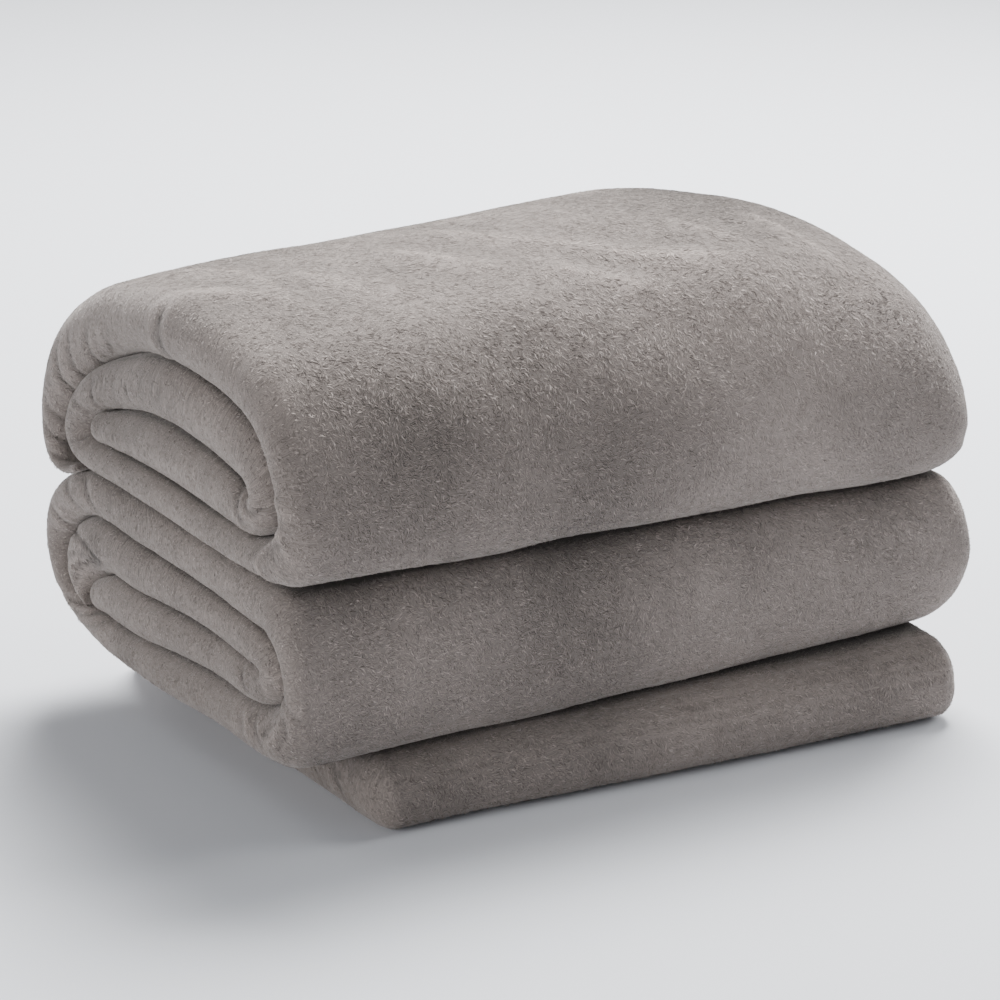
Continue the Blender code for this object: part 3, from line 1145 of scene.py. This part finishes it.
class Nodes:
    """A node tree with short calls to add and join its nodes."""

    def __init__(self, tree: Tree) -> None:
        """Keeps the tree, emptied.

        Args:
            tree: a material's or a group's tree.
        """
        self.tree = tree
        tree.nodes.clear()

    def add(self, kind: str, inputs: dict | None = None, **settings: object) -> bpy.types.Node:
        """Adds a node.

        Args:
            kind: the node's type, without ShaderNode in front.
            inputs: what goes into its sockets: an output socket to join, or a value.
            settings: the node's own settings.

        Returns:
            The node.
        """
        prefix = "" if kind.startswith("NodeGroup") else "ShaderNode"
        node = self.tree.nodes.new(prefix + kind)
        for name, value in settings.items():
            setattr(node, name, value)
        for key, value in (inputs or {}).items():
            if isinstance(value, bpy.types.NodeSocket):
                self.tree.links.new(value, node.inputs[key])
            else:
                node.inputs[key].default_value = value
        return node

    def math(self, operation: str, *values: object) -> bpy.types.NodeSocket:
        """The result of a Math node on numbers or sockets."""
        return self.add("Math", dict(enumerate(values)), operation=operation).outputs[0]


def group(name: str, sizes: dict[str, float], output: str) -> tuple[Nodes, dict]:
    """A new shader node group that takes a place and some sizes and puts out one number.

    Args:
        name: the group's name.
        sizes: each size's default, in metres.
        output: the name of the number that it puts out.

    Returns:
        The group's nodes, and what comes out of its input node, by name.
    """
    tree = bpy.data.node_groups.new(name, "ShaderNodeTree")
    tree.interface.new_socket("Place", in_out="INPUT", socket_type="NodeSocketVector")
    for key, default in sizes.items():
        socket = tree.interface.new_socket(key, in_out="INPUT", socket_type="NodeSocketFloat")
        socket.default_value = default
    tree.interface.new_socket(output, in_out="OUTPUT", socket_type="NodeSocketFloat")
    nodes = Nodes(tree)
    return nodes, nodes.add("NodeGroupInput").outputs


PATCH_SIZE, STREAK_SIZE, STROKE_SIZE = 0.06, 0.02, 0.0006  # metres
PATCH_SHARE, STREAK_SHARE = 0.75, 0.25
NAP_RANGE = (0.2, 0.8)
STROKE_SWIRL, STROKE_TURN, STROKE_ANGLE = 45.0, 0.25, 0.7  # a scale, then radians
STROKE_STRETCH = (1.0, 0.2, 1.0)
STROKE_MIDDLE = 0.52


def nap_group() -> None:
    """The nap's mottling: broad soft patches and narrower ones, as one mask."""
    nodes, given = group("nap", {"Patch Size": PATCH_SIZE, "Streak Size": STREAK_SIZE}, "Shade")
    patch, streak = (
        nodes.add("TexNoise", {
            "Vector": given["Place"], "Scale": nodes.math("DIVIDE", 1.0, given[size]),
            "Detail": detail, "Roughness": 0.5, "Distortion": distortion}).outputs["Fac"]
        for size, detail, distortion in (("Patch Size", 1.5, 0.4), ("Streak Size", 2.0, 0.8)))
    both = nodes.math("MULTIPLY_ADD", streak, STREAK_SHARE,
                      nodes.math("MULTIPLY", patch, PATCH_SHARE))
    low, high = NAP_RANGE
    spread = nodes.add("MapRange", {"Value": both, "From Min": low, "From Max": high})
    nodes.add("NodeGroupOutput", {"Shade": spread.outputs["Result"]})


def stroke_group() -> None:
    """Fine fibre strokes: noise stretched one way on the cloth's own map."""
    nodes, given = group("strokes", {"Size": STROKE_SIZE}, "Height")
    swirl = nodes.add("TexNoise", {"Vector": given["Place"], "Scale": STROKE_SWIRL, "Detail": 2.0})
    turned = nodes.add("VectorRotate", {
        "Vector": given["Place"], "Axis": (0.0, 0.0, 1.0),
        "Angle": nodes.math("MULTIPLY_ADD", swirl.outputs["Fac"], STROKE_TURN, STROKE_ANGLE)})
    thin = nodes.add("VectorMath", {0: turned.outputs[0], 1: STROKE_STRETCH}, operation="MULTIPLY")
    noise = nodes.add("TexNoise", {
        "Vector": thin.outputs[0], "Scale": nodes.math("DIVIDE", 1.0, given["Size"]),
        "Detail": 2.0, "Roughness": 0.6})
    nodes.add("NodeGroupOutput", {"Height": noise.outputs["Fac"]})


MIX_SHARE, MIX_FIRST, MIX_SECOND, MIX_RESULT = 0, 6, 7, 2  # a Mix node's sockets for colours


@dataclass(frozen=True)
class Plush:
    """The finish of the cloth and its pile: a dark and a light tone of warm grey.

    The shares say how much each of the leaf's tone, the strokes and the nap moves the mix.
    """

    dark: tuple[float, float, float] = (0.136, 0.117, 0.106)
    light: tuple[float, float, float] = (0.293, 0.251, 0.228)
    roughness: float = 0.95
    sheen: float = 0.55
    sheen_roughness: float = 0.45
    sheen_tint: tuple[float, float, float] = (0.80, 0.74, 0.70)
    specular: float = 0.15
    tone_share: float = 0.63
    stroke_share: float = 2.8
    nap_share: float = 0.65
    least_shade: float = -0.65
    bump_strength: float = 0.5
    bump_height: float = 0.0008  # metres

    def material(self, name: str, is_pile: bool) -> bpy.types.Material:
        """The cloth's material, or its pile's, whose leaves differ in tone.

        Args:
            name: the material's name.
            is_pile: whether it is for the leaves.

        Returns:
            The material.
        """
        material = bpy.data.materials.new(name)
        material.use_nodes = True
        nodes = Nodes(material.node_tree)
        place = nodes.add("TexCoord").outputs["Object"]
        nap = nodes.add("Group", {"Place": place}, node_tree=bpy.data.node_groups["nap"])
        base = nodes.add("Attribute", attribute_name="shade")
        middle = nodes.math("ADD", base.outputs["Fac"], 0.5 - 0.5 * self.nap_share)
        shade = nodes.math("MULTIPLY_ADD", nap.outputs["Shade"], self.nap_share, middle)
        if is_pile:
            tone = nodes.add("Attribute", attribute_name="tone")
            shade = nodes.math("MULTIPLY_ADD", tone.outputs["Fac"], self.tone_share, shade)
        else:
            uv = nodes.add("UVMap", uv_map="cloth").outputs["UV"]
            strokes = nodes.add("Group", {"Place": uv}, node_tree=bpy.data.node_groups["strokes"])
            stroke = nodes.math("SUBTRACT", strokes.outputs["Height"], STROKE_MIDDLE)
            shade = nodes.math("MULTIPLY_ADD", stroke, self.stroke_share, shade)
        shade = nodes.math("MAXIMUM", shade, self.least_shade)
        mix = nodes.add("Mix", data_type="RGBA", clamp_factor=False, inputs={
            MIX_SHARE: shade, MIX_FIRST: (*self.dark, 1.0), MIX_SECOND: (*self.light, 1.0)})
        shader = nodes.add("BsdfPrincipled", {
            "Base Color": mix.outputs[MIX_RESULT], "Roughness": self.roughness,
            "Specular IOR Level": self.specular, "Sheen Weight": self.sheen,
            "Sheen Roughness": self.sheen_roughness, "Sheen Tint": (*self.sheen_tint, 1.0)})
        if not is_pile:
            bump = nodes.add("Bump", {"Height": strokes.outputs["Height"],
                                      "Strength": self.bump_strength, "Distance": self.bump_height})
            nodes.tree.links.new(bump.outputs["Normal"], shader.inputs["Normal"])
        nodes.add("OutputMaterial", {"Surface": shader.outputs[0]})
        return material


@dataclass(frozen=True)
class SoftBox:
    """A soft square light: where it hangs and how wide it is, in metres, and its watts."""

    name: str
    place: tuple[float, float, float]
    size: float
    power: float

    def hang(self, target: Vector) -> None:
        """Adds the light, turned to the target."""
        data = bpy.data.lights.new(self.name, "AREA")
        data.shape = "SQUARE"
        data.size = self.size
        data.energy = self.power
        light = placed(self.name, data)
        light.location = self.place
        way = target - Vector(self.place)
        light.rotation_euler = way.to_track_quat("-Z", "Y").to_euler()


@dataclass(frozen=True)
class Studio:
    """A pale floor, soft lights and the camera at the photograph's view, in metres."""

    camera_place: tuple[float, float, float] = (-0.86817, -1.38640, 0.63051)
    azimuth: float = -31.82  # degrees, as the next two
    dip: float = 17.98
    roll: float = 0.547
    lens: float = 128.95  # millimetres, as its sensor
    sensor: float = 36.0
    floor_size: float = 12.0
    floor_colour: tuple[float, float, float] = (0.78, 0.80, 0.84)
    floor_roughness: float = 0.9
    sky: tuple[float, float, float] = (0.86, 0.91, 1.0)
    sky_strength: float = 0.17
    lights: tuple[SoftBox, ...] = (
        SoftBox("key", (0.9, 0.9, 1.9), 1.2, 170.0),
        SoftBox("back_left", (-1.2, 0.9, 1.7), 1.0, 6.0),
        SoftBox("left_fill", (-2.0, -0.6, 0.6), 1.2, 25.0),
        SoftBox("right_fill", (2.2, -0.3, 1.3), 1.2, 34.0),
    )

    def build(self, target: Vector) -> None:
        """Adds the floor, the lights, the world and the camera.

        Args:
            target: the middle of what is lit.
        """
        self.floor()
        for light in self.lights:
            light.hang(target)
        world = bpy.data.worlds.new("studio")
        world.use_nodes = True
        background = world.node_tree.nodes["Background"]
        background.inputs["Color"].default_value = (*self.sky, 1.0)
        background.inputs["Strength"].default_value = self.sky_strength
        bpy.context.scene.world = world
        data = bpy.data.cameras.new("camera")
        data.lens = self.lens
        data.sensor_width = self.sensor
        camera = placed("camera", data)
        turn = Matrix.Rotation(math.radians(self.azimuth), 4, "Z")
        tilt = Matrix.Rotation(math.radians(90.0 - self.dip), 4, "X")
        lean = Matrix.Rotation(math.radians(self.roll), 4, "Z")
        camera.matrix_world = Matrix.Translation(self.camera_place) @ turn @ tilt @ lean
        bpy.context.scene.camera = camera

    def floor(self) -> None:
        """A wide square of pale floor."""
        half = 0.5 * self.floor_size
        corners = [(-half, -half, 0.0), (half, -half, 0.0), (half, half, 0.0), (-half, half, 0.0)]
        data = bpy.data.meshes.new("floor")
        data.from_pydata(corners, [], [(0, 1, 2, 3)])
        material = bpy.data.materials.new("floor")
        material.use_nodes = True
        shader = material.node_tree.nodes["Principled BSDF"]
        shader.inputs["Base Color"].default_value = (*self.floor_colour, 1.0)
        shader.inputs["Roughness"].default_value = self.floor_roughness
        data.materials.append(material)
        floor = placed("floor", data)
        floor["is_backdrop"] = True


def table_shift(lines: list[tuple[Band, Array]]) -> Array:
    """The way from the tables' own origin to the frame's, in millimetres.

    Args:
        lines: every band with its outlines' points.

    Returns:
        The shift that puts the bands' box on the middle of the solid's box.
    """
    low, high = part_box(NODE)
    spans = []
    for band, _ in lines:
        cloth = Cloth(band, np.zeros(3))
        grids = [cloth.grid(outline)[0].reshape(-1, 3) for outline in band.outlines()]
        spans += [np.vstack(grids).min(axis=0), np.vstack(grids).max(axis=0)]
    middle = 0.5 * (np.min(spans, axis=0) + np.max(spans, axis=0))
    wanted = 0.5 * (np.array(low) + np.array(high)) / MM
    return np.array([*(wanted - middle)[:2], 0.0])


def corners_of(box: object) -> list[list[float]]:
    """A box's two corners as plain lists."""
    return [[float(value) for value in corner] for corner in box]


def main() -> None:
    """Builds the blanket around the frame and reports each piece."""
    logging.basicConfig(level=logging.INFO, format="%(name)s: %(message)s")
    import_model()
    cad_box = corners_of(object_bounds())
    nap_group()
    stroke_group()
    cloth_finish = Plush().material("plush_cloth", is_pile=False)
    pile_finish = Plush().material("plush_pile", is_pile=True)
    lines = [(band, np.vstack([closely(outline.surface()) for outline in band.outlines()]))
             for band in BANDS]
    shift = table_shift(lines)
    log.info("tables shifted by %s mm", np.round(shift, 2))
    pile = Pile()
    for band, _ in lines:
        cloth = Cloth(band, shift)
        piece = cloth.build(lines)
        piece.data.materials.append(cloth_finish)
        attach(piece, BODY)
        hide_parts(NODE)
        log.info("%s: %d faces", piece.name, len(piece.data.polygons))
        for fibres in pile.cover(cloth):
            fibres.data.materials.append(pile_finish)
            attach(fibres, BODY)
            log.info("%s: %d triangles", fibres.name, len(fibres.data.polygons))
    low, high = (np.array(corner) for corner in cad_box)
    Studio().build(Vector(0.5 * (low + high)))


if __name__ == "__main__":
    main()
